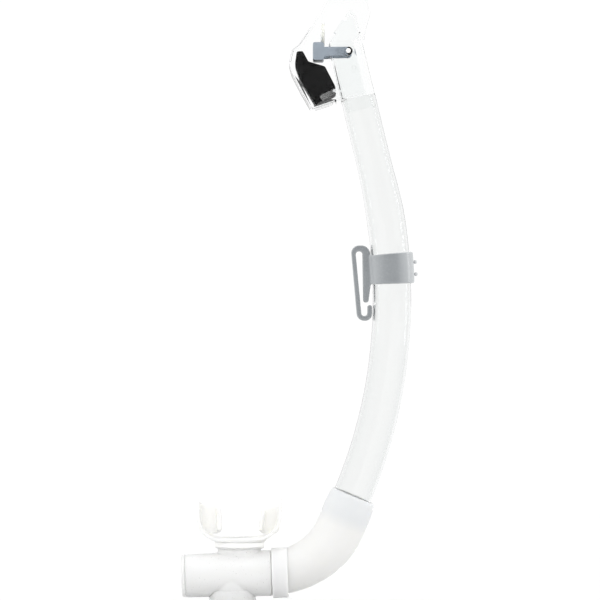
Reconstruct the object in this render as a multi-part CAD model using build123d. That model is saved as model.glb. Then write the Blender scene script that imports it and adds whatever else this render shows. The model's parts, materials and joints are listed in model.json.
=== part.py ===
from build123d import *
import os
from math import atan2, cos, degrees, radians, sin, tan

# Dry-top snorkel. Millimetres, +Z up along the tube, +X towards the back of the tube.
# The XZ plane is the plane of symmetry. The origin is the centre of the mask-strap slot.

# ---------------------------------------------------------------- driving dimensions
# Tube centreline: one long arc, then straight at both ends.
ARC_RADIUS = 374.1
ARC_CENTRE = Vector(-350.8, 0, -15.4)
TOP_TILT = 13.6            # degrees, the straight upper end leans to -X
LOW_TILT = -22.7           # degrees, the lower end leans the same way going down
TUBE_R = 14.15             # outer radius over the arc
TUBE_TOP_R = 12.8          # outer radius of the straight upper end
TUBE_WALL = 1.6
TAPER_LOW = -34.0          # the tube narrows between these places, along the
TAPER_HIGH = 14.0          # centreline from the top end of the arc
HEAD_JOINT = 61.2          # where the valve body takes over from the tube
TUBE_TAIL = 20.0           # straight lower end, inside the elbow
SECTION_CUTS = (-38.0, -140.0)     # along the centreline, between the tube's sections

# Valve body
HEAD_R = 12.7
HEAD_WALL = 1.5
SPIGOT_DEPTH = 9.0
PLUG_GAP = 0.05            # push fit of the head's spigot in the tube
LEVER_PIVOT = Vector(-9.0, 0, 165.4)
VALVE_ANGLE = 34.5         # degrees the lever turns from open to shut
SEAT_DISTANCE = 17.2       # seat lip to lever pin
ROOF_DISTANCE = 26.0       # closed roof to lever pin
SEAT_CENTRE = 12.7         # middle of the opening, up along the seat
SEAT_HOLE = (7.0, 8.0)     # half sizes of the oval opening
SEAT_LIP = 1.2             # lip width
LIP_HEIGHT = 0.8
CHEEK = (15.3, 16.5)       # inner and outer distance from the plane of symmetry
CHEEK_FRONT_X = -17.9
CHEEK_TOP_Z = 172.5
CHEEK_BACK = 6.0           # behind the tube's centreline
WEB = 1.6

# Lever and flap
ARM = (13.25, 14.6)         # inner and outer distance from the plane of symmetry
ARM_Z = (161.5, 162.4, 168.5)  # arm's underside at the block and at the eye, and its top
ARM_ROUND = 0.2
EYE_R = 3.1
PIN_R = 1.5
PIN_FIT = 0.06
PIN_HEAD_R = 1.7
CLIP_FACES = (14.7, 15.2)
CLIP_MOUTH = 2.4
CLIP_CUT = 0.4             # the clip stops this far past its middle
BLOCK_X = (-34.8, -26.7)
BLOCK_Z = (159.0, 171.9)
BLOCK_ROUND = 1.2
FLAP_GAP = 0.1
FLAP_THICK = 1.7
PLATE_THICK = 1.2
FLAP_HALF = (9.0, 10.5)
PLATE_INSET = 0.6          # plate's edge inside the flap's
PLATE_FOOT = (12.0, 4.4)   # width and height of the foot that joins it to the lever
FOOT_Z = 170.6
NOTCH_DEPTH = 3.5          # below the block's top, for the flap and its plate

# Float
FLOAT_PIVOT = Vector(-19.3, 0, 136.3)
FLOAT_HALF = 14.2
FLOAT_PIN_R = 1.2
RIB_GROOVE = (0.6, 8.0, 1.0)   # width, length and depth of the grooves in its plug
LUG = (14.6, 15.3)
LUG_R = 2.9

# Hood
HOOD_HALF = 18.2
HOOD_WALL = 1.6
HOOD_ROUND = 3.0
HOOD_TOP_HALF = 14.5
HOOD_TUBE_GAP = 0.2
HOOD_BACK_Z = 172.5
BUTTON_AT = Vector(-4.8, 0, 153.1)
BUTTON_R = 2.3
HEAD_PROUD = 0.6           # how far button and pin heads stand out of the hood
WINDOW_X = (-23.7, -9.6)   # three-cornered air window beside the valve's mouth
WINDOW_Z = (174.0, 195.2)
WINDOW_ROUND = 1.4
DRAIN_BOX = (13.0, 4.5, 16.0)
DRAIN_X = -27.0
DRAIN_Z = 124.0
DRAIN_PITCH = 8.0

# Strap keeper
KEEPER_ANGLE = 3.36        # place on the arc, degrees
KEEPER_BORE = 14.5
KEEPER_R = 16.75
KEEPER_HEIGHT = 22.3
HOOK_HALF = 6.0
STUD_HEIGHTS = (11.4, 2.4)
STUD_SHANK_R = 0.9
STUD_HEAD_R = 1.5
STUD_HEAD_OUT = 1.3        # middle of the round head above the band
STUD_DEPTH = 1.8

# Swivel and mouth chamber, on an axis that falls slightly towards its closed end
SWIVEL_CENTRE = Vector(-59.0, 0, -216.9)
MOUTH_TILT = 2.0
RING_R = 18.4
RING_HALF = 5.9
RING_LIP_R = 16.4          # the ring's opening on the elbow's side
CHAMBER_END = -72.4
CHAMBER_R = (15.7, 16.9)   # at the closed end and beside the ring
CHAMBER_BORE = 13.2
CHAMBER_STEP = -22.0       # the wide bore ends and the bearing begins
CAP_THICK = 3.0
CAP_FIT = 0.02
CAP_PLUG = (4.0, 1.6)      # length and wall of the cap's plug
NECK_BORE = 12.75
NECK_R = 14.9
NECK_TOP = -1.0
FLANGE_R = 16.65           # retaining flange inside the ring
FLANGE_X = (-3.8, -0.8)
RING_GAP = 0.35            # running gap between ring and flange
INSERT_R = 12.5
INSERT_BORE = 10.8
INSERT_X = (-20.0, 7.0)
ORING_AT = -12.0
ORING_R = 0.6
GROOVE = (1.1, 1.0)        # depth and half width of the O-ring's groove
BEARING_FIT = 0.08

# Elbow
BEND_RADIUS = 56.0
ELBOW_BORE = 12.6
ELBOW_END = 0.5            # along the swivel axis from the ring's middle
ELBOW_OFFSET = 0.9         # the wall is thicker on the inside of the bend
# Share of the run, outer radius, shift towards the inside of the bend
ELBOW_STRAIGHT = ((0.0, 16.2, ELBOW_OFFSET), (0.1, 17.4, ELBOW_OFFSET),
                  (0.5, 17.9, ELBOW_OFFSET), (1.0, 17.8, ELBOW_OFFSET))
ELBOW_BEND = ((0.2, 17.6, ELBOW_OFFSET), (0.4, 17.2, ELBOW_OFFSET / 2),
              (0.6, 16.7, 0.0), (0.8, 16.3, 0.0), (1.0, 16.0, 0.0))

# Mouthpiece
MOUTH_X = -88.8
SPIGOT_OVAL = (16.0, 10.0)
SPIGOT_WALL = 2.2
SPIGOT_TOP = -193.5
NECK_OVAL = (17.9, 12.2)
NECK_LOW = -199.0
NECK_TOP_Z = -194.0        # between the mouthpiece's neck and its flange
FLANGE_Z = -191.0
FLANGE_THICK = 2.4
FLANGE_HALF = 13.0
TAB_HALF = 2.3
RIB_HALF = 4.8
TIE_Z = (-197.6, -194.4)
TIE_OVAL = (18.1, 12.4)
TIE_WALL = 0.9
TIE_LOCK = (4.6, 3.0, 3.2)
LOCK_X = 4.0               # the lock is this far off the band's middle
FLARE = ((-196.0, 0.0), (-193.6, 1.0), (-191.4, 4.0))  # height, growth of the neck

# Purge valve, in the swivel frame, under the chamber
PURGE_X = -35.6
BOSS_R = 15.8
BOSS_LOW = -18.6
SEAT_R = 14.2
SEAT_FACES = (-17.4, -15.8)
SEAT_LEDGE = 1.4
DISC_R = 12.0
DISC_THICK = 1.0
STEM_R = 1.3
STEM_FIT = 0.06
BULB_R = 1.9
BULB_HEIGHT = (0.3, 2.6)   # above the seat, with the travel added to the first
STEM_HEIGHT = 1.6
PURGE_TRAVEL = 1.0
DISC_GAP = 0.1
SEAT_OPENING = (10.4, 3.4)
SPOKE = 2.0
COVER_R = 17.2
COVER_LOW = -22.6
COVER_WALL = 1.3
COVER_HIGH = -11.0
COVER_FLOOR = 1.6
COVER_ROUND = 1.4
COVER_SLOT = (2.6, 24.0, 5.4)  # width, middle length and pitch

FAR = 200.0                # larger than any piece, for cutting
SIDES = (-1, 1)

TUBE_UP = Vector(-sin(radians(TOP_TILT)), 0, cos(radians(TOP_TILT)))
TUBE_ACROSS = Vector(cos(radians(TOP_TILT)), 0, sin(radians(TOP_TILT)))
SEAT_OUT = Vector(-cos(radians(VALVE_ANGLE)), 0, sin(radians(VALVE_ANGLE)))
SEAT_UP = Vector(sin(radians(VALVE_ANGLE)), 0, cos(radians(VALVE_ANGLE)))
SWIVEL_DIR = Vector(cos(radians(MOUTH_TILT)), 0, sin(radians(MOUTH_TILT)))
SWIVEL = Location(SWIVEL_CENTRE) * Rotation(0, -MOUTH_TILT, 0)


# ---------------------------------------------------------------- helpers
def tube_plane(along):
    """Plane across the tube, `along` mm past the top end of its arc, x to the back."""
    low_end = -radians(TOP_TILT - LOW_TILT) * ARC_RADIUS
    on_arc = min(max(along, low_end), 0)
    angle = radians(TOP_TILT) + on_arc / ARC_RADIUS
    outward = Vector(cos(angle), 0, sin(angle))
    up = Vector(-sin(angle), 0, cos(angle))
    origin = ARC_CENTRE + outward * ARC_RADIUS + up * (along - on_arc)
    return Plane(origin, x_dir=outward, z_dir=up)


def ring_section(plane, radius):
    return plane * Circle(radius)


def rod(plane, radius, low, high):
    """Cylinder on a plane's own axis, between two heights."""
    return extrude(plane.offset(low) * Circle(radius), high - low)


def pipe(plane, outer, inner, low, high):
    return rod(plane, outer, low, high) - rod(plane, inner, low - 1, high + 1)


def outline(points, radii):
    """Closed face in the XZ plane with rounded corners."""
    wire = FilletPolyline(*[(x, z) for x, z in points], radius=radii, close=True)
    return make_face(Plane.XZ * wire)


def slab(face, half):
    """Solid of a face in the XZ plane, the same depth to both sides of it."""
    return extrude(face, half, both=True)


def side_edges(solid, half):
    """Edges that lie on a slab's two outer faces."""
    return solid.edges().filter_by(lambda edge: abs(abs(edge.center().Y) - half) < 0.01)


def side_plates(face, faces):
    """The same plate on both sides, between two distances from the XZ plane."""
    inner, outer = faces
    plate = slab(face, (outer - inner) / 2)
    return [Pos(0, side * (inner + outer) / 2, 0) * plate for side in SIDES]


def cross_plane(at, y=0.0):
    """XZ-parallel plane through a point; its normal is +Y."""
    return Plane(Vector(at.X, y, at.Z), x_dir=(1, 0, 0), z_dir=(0, 1, 0))


def side_rods(at, radius, inner, outer):
    return [rod(cross_plane(at), radius, min(side * inner, side * outer),
                max(side * inner, side * outer)) for side in SIDES]


def oval(centre_x, z, half_sizes):
    """Oval in a horizontal plane."""
    return Plane.XY.offset(z) * Pos(centre_x, 0) * Ellipse(*half_sizes)


def oval_rod(centre_x, half_sizes, low, high):
    return extrude(oval(centre_x, low, half_sizes), high - low)


def grown(half_sizes, by):
    return tuple(size + by for size in half_sizes)


def write(name, *shapes):
    solids = [solid for shape in shapes for solid in shape.solids()]
    body = solids[0] if len(solids) == 1 else Compound(children=solids)
    body.label = name
    export_step(body, f"parts/{name}.step")


def joined(shapes):
    whole = shapes[0]
    for shape in shapes[1:]:
        whole = whole + shape
    return whole


# ---------------------------------------------------------------- tube
def tube_solid(inset, overrun):
    """The tube's outer form, moved in by `inset` and run past both ends."""
    low = -radians(TOP_TILT - LOW_TILT) * ARC_RADIUS
    start = tube_plane(low - TUBE_TAIL - overrun)
    bottom = tube_plane(low)
    middle = tube_plane((low + TAPER_LOW) / 2)
    taper = tube_plane(TAPER_LOW)
    path = Wire([
        Line(start.origin, bottom.origin).edge(),
        ThreePointArc(bottom.origin, middle.origin, taper.origin).edge(),
    ])
    long_part = sweep(ring_section(start, TUBE_R - inset), path=path)
    span = TAPER_HIGH - TAPER_LOW
    sections = []
    for step in range(5):
        share = step / 4
        ease = share * share * (3 - 2 * share)
        radius = TUBE_R + (TUBE_TOP_R - TUBE_R) * ease - inset
        sections.append(ring_section(tube_plane(TAPER_LOW + span * share), radius))
    top = rod(tube_plane(TAPER_HIGH), TUBE_TOP_R - inset, 0,
              HEAD_JOINT - TAPER_HIGH + overrun)
    return joined([long_part, loft(sections), top])


def above(along):
    """Everything past a plane across the tube."""
    return extrude(tube_plane(along) * Rectangle(FAR, FAR), FAR)


def barrel_sections():
    """The tube as three sections, from its top down, that meet face to face."""
    whole = tube_solid(0, 0) - tube_solid(TUBE_WALL, 1)
    high, low = SECTION_CUTS
    upper = whole & above(high)
    middle = (whole - above(high)) & above(low)
    return upper, middle, whole - upper - middle


# ---------------------------------------------------------------- valve body
def seat_plane(distance, lift=0.0):
    """Plane parallel to the seat, `distance` from the lever pin; x runs up the seat."""
    return Plane(LEVER_PIVOT + SEAT_OUT * distance + SEAT_UP * lift,
                 x_dir=SEAT_UP, z_dir=SEAT_OUT)


def head_form(radius, inset, low):
    """Upper end of the tube, cut by the seat and by the closed roof."""
    base = tube_plane(HEAD_JOINT)
    form = rod(base, radius, low, FAR / 2)
    face = seat_plane(SEAT_DISTANCE - LIP_HEIGHT - inset)
    roof = Plane(LEVER_PIVOT + SEAT_UP * (ROOF_DISTANCE - inset),
                 x_dir=SEAT_OUT, z_dir=SEAT_UP)
    for cut in (face, roof):
        form = form - extrude(cut * Rectangle(FAR, FAR), FAR)
    return form


def cheek_face(inset):
    """Side view of the cheeks; the inset one is open at its front and top."""
    base = tube_plane(HEAD_JOINT + inset)
    back = CHEEK_BACK - inset

    def on_base(x):
        return base.origin.Z + (x - base.origin.X) * tan(radians(TOP_TILT))

    def on_back(z):
        corner = base.origin + TUBE_ACROSS * back
        return corner.X - (z - corner.Z) * tan(radians(TOP_TILT))

    front = CHEEK_FRONT_X - (FAR if inset else 0)
    top = CHEEK_TOP_Z + (FAR if inset else 0)
    corner = base.origin + TUBE_ACROSS * back
    points = [(front, on_base(front)), (corner.X, corner.Z), (on_back(top), top),
              (front, top)]
    return make_face(Plane.XZ * Polyline(*points, close=True))


def valve_body():
    base = tube_plane(HEAD_JOINT)
    cowl = slab(cheek_face(0), CHEEK[1]) - slab(cheek_face(WEB), CHEEK[0])
    spigot = rod(base, TUBE_TOP_R - TUBE_WALL - PLUG_GAP, -SPIGOT_DEPTH, HEAD_WALL)
    lip = extrude(seat_plane(SEAT_DISTANCE, SEAT_CENTRE)
                  * Ellipse(*grown(SEAT_HOLE, SEAT_LIP)), -LIP_HEIGHT * 2)
    hole = extrude(seat_plane(SEAT_DISTANCE + 1, SEAT_CENTRE)
                   * Ellipse(*SEAT_HOLE), -FAR / 12)
    lug_face = make_face(Plane.XZ * Polyline(
        (FLOAT_PIVOT.X, FLOAT_PIVOT.Z - LUG_R), (CHEEK_FRONT_X + 4, FLOAT_PIVOT.Z - LUG_R),
        (CHEEK_FRONT_X + 4, FLOAT_PIVOT.Z + LUG_R), (FLOAT_PIVOT.X, FLOAT_PIVOT.Z + LUG_R),
        close=True))
    lugs = side_plates(lug_face, LUG) + side_rods(FLOAT_PIVOT, LUG_R, *LUG)
    tongues = side_plates(lug_face, (LUG[1], CHEEK[1]))
    noses = side_rods(FLOAT_PIVOT, LUG_R, LUG[1], CHEEK[1])
    body = joined([head_form(HEAD_R, 0, 0), cowl, spigot, lip] + lugs + tongues + noses)
    bore = head_form(HEAD_R - HEAD_WALL, HEAD_WALL, HEAD_WALL)
    plug_bore = rod(base, TUBE_TOP_R - 2 * TUBE_WALL - PLUG_GAP, -SPIGOT_DEPTH - 1,
                    HEAD_WALL + 1)
    pins = side_rods(LEVER_PIVOT, PIN_R, HEAD_R + 0.5, FAR)
    pins += side_rods(FLOAT_PIVOT, FLOAT_PIN_R, LUG[0] - 1, FAR)
    pins += side_rods(BUTTON_AT, BUTTON_R / 2, HEAD_R + 0.5, FAR)
    body = body - bore - plug_bore - hole
    for pin in pins:
        body = body - pin
    return body


# ---------------------------------------------------------------- lever, flap and pins
def valve_lever():
    at_block, at_eye, top = ARM_Z
    arm_face = outline([(BLOCK_X[1] - 1, top), (LEVER_PIVOT.X, top),
                        (LEVER_PIVOT.X, at_eye), (BLOCK_X[1] - 1, at_block)], ARM_ROUND)
    arms = side_plates(arm_face, ARM) + side_rods(LEVER_PIVOT, EYE_R, *ARM)
    block_face = outline([(BLOCK_X[0], BLOCK_Z[0]), (BLOCK_X[1], BLOCK_Z[0]),
                          (BLOCK_X[1], BLOCK_Z[1]), (BLOCK_X[0], BLOCK_Z[1])], BLOCK_ROUND)
    lever = joined([slab(block_face, ARM[1])] + arms)
    flap_back = LEVER_PIVOT.X - SEAT_DISTANCE - FLAP_GAP - FLAP_THICK - PLATE_THICK
    notch = Pos((flap_back + BLOCK_X[1] + 1) / 2, 0, BLOCK_Z[1]) * Box(
        BLOCK_X[1] + 1 - flap_back, 2 * FLAP_HALF[1] + 1, 2 * NOTCH_DEPTH)
    lever = lever - notch
    for hole in side_rods(LEVER_PIVOT, PIN_R + PIN_FIT, ARM[0] - 1, ARM[1] + 1):
        lever = lever - hole
    return lever


def flap_layer(back, front, half_sizes):
    """Oval layer of the open flap, between two distances in front of the lever pin."""
    plane = Plane(LEVER_PIVOT + Vector(-front, 0, SEAT_CENTRE),
                  x_dir=(0, 0, 1), z_dir=(-1, 0, 0))
    return extrude(plane * Ellipse(*half_sizes), back - front)


def valve_flap():
    front = SEAT_DISTANCE + FLAP_GAP
    return flap_layer(front + FLAP_THICK, front, FLAP_HALF)


def flap_plate():
    front = SEAT_DISTANCE + FLAP_GAP + FLAP_THICK
    back = front + PLATE_THICK
    plate = flap_layer(back, front, grown(FLAP_HALF, -PLATE_INSET))
    foot = Pos(LEVER_PIVOT.X - (front + back) / 2, 0, FOOT_Z) * Box(PLATE_THICK, *PLATE_FOOT)
    return plate + foot


def lever_pins():
    shanks = side_rods(LEVER_PIVOT, PIN_R, HEAD_R + 0.1, HOOD_HALF)
    heads = side_rods(LEVER_PIVOT, PIN_HEAD_R, HOOD_HALF, HOOD_HALF + HEAD_PROUD)
    return [shank + head for shank, head in zip(shanks, heads)]


def pin_clips():
    """C-clips, open towards the lever's arms."""
    clips = []
    mouth = Pos(LEVER_PIVOT.X - EYE_R, 0, LEVER_PIVOT.Z) * Box(2 * EYE_R, FAR, CLIP_MOUTH)
    mouth = mouth + Pos(LEVER_PIVOT.X - 2 * EYE_R - CLIP_CUT, 0, LEVER_PIVOT.Z) * Box(
        4 * EYE_R, FAR, FAR)
    for ring in side_rods(LEVER_PIVOT, EYE_R, *CLIP_FACES):
        clip = ring - mouth
        for shank in side_rods(LEVER_PIVOT, PIN_R, CLIP_FACES[0] - 1, CLIP_FACES[1] + 1):
            clip = clip - shank
        clips.append(clip)
    return clips


# ---------------------------------------------------------------- float
FLOAT_POINTS = [
    (-46.7, 165.2), (-42.3, 165.4), (-38.2, 157.9), (-26.0, 154.2), (-18.5, 139.7),
    (-17.9, 133.7), (-33.1, 126.1), (-44.1, 144.1), (-48.1, 155.5),
]
FLOAT_RADII = [1.4, 0.9, 1.0, 1.2, 3.0, 1.0, 1.0, 14.0, 9.0]
PLUG_POINTS = [(-29.3, 133.2), (-23.0, 136.3), (-21.4, 132.4), (-27.8, 129.2)]


def plug_form():
    return slab(outline(PLUG_POINTS, 0.3), FLOAT_HALF)


def float_body():
    body = slab(outline(FLOAT_POINTS, FLOAT_RADII), FLOAT_HALF)
    hinge = rod(cross_plane(FLOAT_PIVOT), FLOAT_PIN_R + PIN_FIT, -FAR, FAR)
    return body - hinge - plug_form()


def float_plug():
    """Plug through the float's lower corner, with shallow ribs on its two ends."""
    plug = plug_form()
    start = Vector(PLUG_POINTS[0][0], 0, PLUG_POINTS[0][1])
    along = Vector(PLUG_POINTS[1][0], 0, PLUG_POINTS[1][1]) - start
    down = Vector(PLUG_POINTS[3][0], 0, PLUG_POINTS[3][1]) - start
    for rib in range(4):
        at = start + along * (0.2 + 0.2 * rib) + down * 0.5
        for side in SIDES:
            groove = Plane(Vector(at.X, side * FLOAT_HALF, at.Z), x_dir=along,
                           z_dir=(0, 1, 0)) * Box(*RIB_GROOVE)
            plug = plug - groove
    return plug


# ---------------------------------------------------------------- hood
HOOD_POINTS = [
    (-36.2, 122.0), (-44.3, 136.3), (-50.4, 148.1), (-52.6, 156.0), (-50.4, 166.2),
    (-45.2, 170.2), (-36.2, 184.1), (-30.6, 193.6), (-23.6, 206.9), (6.2, 206.9),
    (7.9, 195.5), (3.4, 180.0), (2.9, HOOD_BACK_Z),
]
HOOD_RADII = [3.0, 60.0, 14.0, 8.0, 5.0, 9.0, 40.0, 40.0, 9.0, 5.0, 7.0, 30.0, 0.2]


def hood_face(back):
    """Side view of the hood, `back` mm behind the cheeks' rear edge."""
    base = tube_plane(HEAD_JOINT)
    low = base.origin + TUBE_ACROSS * (CHEEK_BACK + back)
    high = low + TUBE_UP * ((HOOD_BACK_Z - low.Z) / TUBE_UP.Z)
    front = base.origin - TUBE_ACROSS * ((base.origin.X - CHEEK_FRONT_X) / TUBE_ACROSS.X)
    tail = [(high.X, high.Z), (low.X, low.Z), (front.X, front.Z)]
    return outline(HOOD_POINTS + tail, HOOD_RADII + [0.2, 0.2, 2.0])


def front_view(inset):
    """Front view of the hood, narrower at its top."""
    wide = HOOD_HALF - inset
    narrow = HOOD_TOP_HALF - inset
    high = HOOD_POINTS[8][1] - inset
    points = [(-wide, 110), (wide, 110), (wide, 176), (narrow, high), (-narrow, high),
              (-wide, 176)]
    wire = FilletPolyline(*points, radius=[1, 1, 30, 6, 6, 30], close=True)
    return extrude(Plane.YZ * make_face(wire), FAR / 2, both=True)


def air_window():
    """Three-cornered window in each side; its long edge runs along the seat."""
    left, right = WINDOW_X
    low, high = WINDOW_Z
    return slab(outline([(left, low), (left, high), (right, high)], WINDOW_ROUND), FAR)


def drain_slots():
    """Slots side by side through the floor of the float chamber."""
    return [Pos(DRAIN_X, step * DRAIN_PITCH, DRAIN_Z) * Box(*DRAIN_BOX)
            for step in (-1, 0, 1)]


def hood():
    outer = slab(hood_face(0), HOOD_HALF)
    outer = fillet(side_edges(outer, HOOD_HALF), HOOD_ROUND) & front_view(0)
    inner_face = offset(hood_face(WEB), amount=-HOOD_WALL, kind=Kind.INTERSECTION)
    inner = slab(inner_face, HOOD_HALF - HOOD_WALL) & front_view(HOOD_WALL)
    cheeks = slab(cheek_face(0), CHEEK[1] + PLUG_GAP)
    shell = outer - inner - cheeks
    shell = shell - head_form(HEAD_R + HOOD_TUBE_GAP, -HOOD_TUBE_GAP, -FAR / 10)
    shell = shell - air_window()
    for slot in drain_slots():
        shell = shell - slot
    for hole in (side_rods(BUTTON_AT, BUTTON_R / 2, HEAD_R, FAR)
                 + side_rods(LEVER_PIVOT, PIN_R, HEAD_R, FAR)):
        shell = shell - hole
    return shell


def hood_buttons():
    shanks = side_rods(BUTTON_AT, BUTTON_R / 2, CHEEK[0], HOOD_HALF)
    heads = side_rods(BUTTON_AT, BUTTON_R, HOOD_HALF, HOOD_HALF + HEAD_PROUD)
    return [shank + head for shank, head in zip(shanks, heads)]


# ---------------------------------------------------------------- strap keeper
HOOK_POINTS = [
    (2.1, -18.4), (1.5, 19.2), (-3.6, 19.2), (0.9, -28.2), (5.2, -28.2), (5.2, -20.2),
    (8.6, -20.2), (8.6, -31.8), (-2.4, -31.8), (-7.2, 23.6), (4.6, 23.6), (9.0, 15.0),
    (9.0, -4.7), (7.6, -4.8), (5.9, -18.4),
]
HOOK_RADII = [1.6, 2.2, 2.2, 1.9, 1.9, 1.5, 1.5, 5.0, 5.6, 5.6, 6.0, 2.0, 0.3, 0.3, 1.6]


def arc_ring(outer, inner):
    """Ring that follows the tube's arc, centred on the keeper's place."""
    place = tube_plane(-radians(TOP_TILT - KEEPER_ANGLE) * ARC_RADIUS)
    turn = degrees(KEEPER_HEIGHT / ARC_RADIUS)
    section = place * (Circle(outer) - Circle(inner)) if inner else place * Circle(outer)
    axis = Axis(ARC_CENTRE, (0, -1, 0))
    return revolve(section, axis, turn).rotate(axis, -turn / 2)


def strap_keeper():
    band = arc_ring(KEEPER_R, KEEPER_BORE)
    rims = band.edges().filter_by(GeomType.CIRCLE).group_by(SortBy.LENGTH)[-1]
    band = fillet(rims, 1.0)
    hook = slab(outline(HOOK_POINTS, HOOK_RADII), HOOK_HALF)
    hook = fillet(side_edges(hook, HOOK_HALF), 0.6)
    place = tube_plane(-radians(TOP_TILT - KEEPER_ANGLE) * ARC_RADIUS)
    keeper = band + (hook - rod(place, KEEPER_BORE + 1.0, -FAR, FAR))
    for height in STUD_HEIGHTS:
        keeper = keeper - rod(stud_plane(height), STUD_SHANK_R, -4.0, 4.0)
    return keeper


def stud_plane(height):
    """Plane on the band's rear face, looking straight out of it."""
    outward = Vector(cos(radians(KEEPER_ANGLE)), 0, sin(radians(KEEPER_ANGLE)))
    rise = height - ARC_CENTRE.Z
    reach = ((ARC_RADIUS + KEEPER_R) ** 2 - rise ** 2) ** 0.5
    return Plane((ARC_CENTRE.X + reach, 0, height), x_dir=(0, 1, 0), z_dir=outward)


def keeper_studs():
    studs = []
    for height in STUD_HEIGHTS:
        plane = stud_plane(height)
        shank = rod(plane, STUD_SHANK_R, -STUD_DEPTH, 1.0)
        head = plane.offset(STUD_HEAD_OUT) * Sphere(STUD_HEAD_R)
        clear = pipe(plane, STUD_HEAD_R + 1, STUD_SHANK_R, -3.0, 0.2)
        studs.append((shank + head) - clear)
    return studs


# ---------------------------------------------------------------- elbow and swivel
def swivel_plane(along=0.0):
    return Plane(SWIVEL_CENTRE + SWIVEL_DIR * along, x_dir=(0, 1, 0), z_dir=SWIVEL_DIR)


def elbow_path():
    """Straight run from the tube's end, then one bend into the swivel axis."""
    start = tube_plane(-radians(TOP_TILT - LOW_TILT) * ARC_RADIUS)
    down = start.z_dir * -1
    gap = SWIVEL_CENTRE - start.origin
    run = (gap.X * SWIVEL_DIR.Z - gap.Z * SWIVEL_DIR.X) / (
        down.X * SWIVEL_DIR.Z - down.Z * SWIVEL_DIR.X)
    corner = start.origin + down * run
    turn = degrees(atan2(-down.Z, -down.X)) - MOUTH_TILT
    leg = BEND_RADIUS * tan(radians(turn) / 2)
    bend_start = corner - down * leg
    straight = Line(start.origin, bend_start)
    return straight, TangentArc(bend_start, corner - SWIVEL_DIR * leg, tangent=down)


def elbow_section(edge, share, radius, inward):
    direction = (edge % share).normalized()
    towards_bend = direction.cross(Vector(0, 1, 0)).normalized()
    plane = Plane(edge @ share, x_dir=(0, 1, 0), z_dir=direction)
    return Pos(*(towards_bend * inward)) * (plane * Circle(radius))


def flex_elbow():
    straight, bend = elbow_path()
    sections = [elbow_section(straight, *values) for values in ELBOW_STRAIGHT]
    sections += [elbow_section(bend, *values) for values in ELBOW_BEND]
    outer = loft(sections)
    path = Wire([straight.edge(), bend.edge()])
    start = Plane(straight @ 0, x_dir=(0, 1, 0), z_dir=straight % 0)
    bore = sweep(start * Circle(ELBOW_BORE), path=path)
    socket = rod(start, TUBE_R, -1, TUBE_TAIL)
    past_end = extrude(swivel_plane(ELBOW_END) * Rectangle(FAR, FAR), -FAR)
    insert_seat = rod(swivel_plane(), INSERT_R, *INSERT_X)
    return outer - bore - socket - past_end - insert_seat


def swivel_ring(elbow):
    plane = swivel_plane()
    ring = pipe(plane, RING_R, INSERT_R, -RING_HALF, RING_HALF)
    rims = ring.edges().filter_by(GeomType.CIRCLE).group_by(SortBy.LENGTH)[-1]
    ring = fillet(rims, 1.0)
    low, high = FLANGE_X
    ring = ring - rod(plane, NECK_R + RING_GAP, -RING_HALF - 1, low)
    ring = ring - rod(plane, FLANGE_R + RING_GAP, low - RING_GAP, high + RING_GAP)
    return ring - rod(plane, RING_LIP_R, ELBOW_END, RING_HALF + 1) - elbow


def swivel_insert():
    plane = swivel_plane()
    sleeve = pipe(plane, INSERT_R, INSERT_BORE, *INSERT_X)
    depth, half = GROOVE
    groove = pipe(plane, INSERT_R + 1, INSERT_R - depth, ORING_AT - half, ORING_AT + half)
    return sleeve - groove


def swivel_oring():
    radius = NECK_BORE - BEARING_FIT - ORING_R
    plane = swivel_plane(ORING_AT)
    return plane * Torus(radius, ORING_R)


# ---------------------------------------------------------------- mouth section
def chamber_outer(extra):
    plane = swivel_plane()
    low = plane.offset(CHAMBER_END + CAP_THICK) * Circle(CHAMBER_R[0] + extra)
    high = plane.offset(-RING_HALF - RING_GAP) * Circle(CHAMBER_R[1] + extra)
    return loft([low, high])


def mouth_chamber():
    plane = swivel_plane()
    body = chamber_outer(0)
    neck = rod(plane, NECK_R, -RING_HALF - 1, NECK_TOP)
    flange = rod(plane, FLANGE_R, *FLANGE_X)
    boss = SWIVEL * rod(Plane((PURGE_X, 0, 0)), BOSS_R, BOSS_LOW, 0)
    body = joined([body, neck, flange, boss])
    body = body - rod(plane, CHAMBER_BORE, CHAMBER_END, CHAMBER_STEP)
    body = body - rod(plane, NECK_BORE, CHAMBER_STEP - 1, 1)
    body = body - oval_rod(MOUTH_X, grown(SPIGOT_OVAL, -SPIGOT_WALL), SWIVEL_CENTRE.Z, 0)
    purge = SWIVEL * rod(Plane((PURGE_X, 0, 0)), SEAT_R - SEAT_LEDGE, -FAR, 0)
    step = SWIVEL * rod(Plane((PURGE_X, 0, 0)), SEAT_R, -FAR, SEAT_FACES[1])
    return body - purge - step


def mouth_spigot():
    """Oval pipe that stands on the chamber and carries the mouthpiece."""
    pipe_wall = oval_rod(MOUTH_X, SPIGOT_OVAL, SWIVEL_CENTRE.Z, SPIGOT_TOP) - oval_rod(
        MOUTH_X, grown(SPIGOT_OVAL, -SPIGOT_WALL), SWIVEL_CENTRE.Z - 1, SPIGOT_TOP + 1)
    return pipe_wall - chamber_outer(0)


def chamber_cap():
    plane = swivel_plane()
    face = CHAMBER_END + CAP_THICK
    length, wall = CAP_PLUG
    disc = rod(plane, CHAMBER_R[0], CHAMBER_END, face)
    rim = disc.edges().filter_by(GeomType.CIRCLE).sort_by(Axis.X)[0]
    disc = fillet(rim, CAP_THICK * 0.8)
    return disc + pipe(plane, CHAMBER_BORE - CAP_FIT, CHAMBER_BORE - wall, face, face + length)


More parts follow.
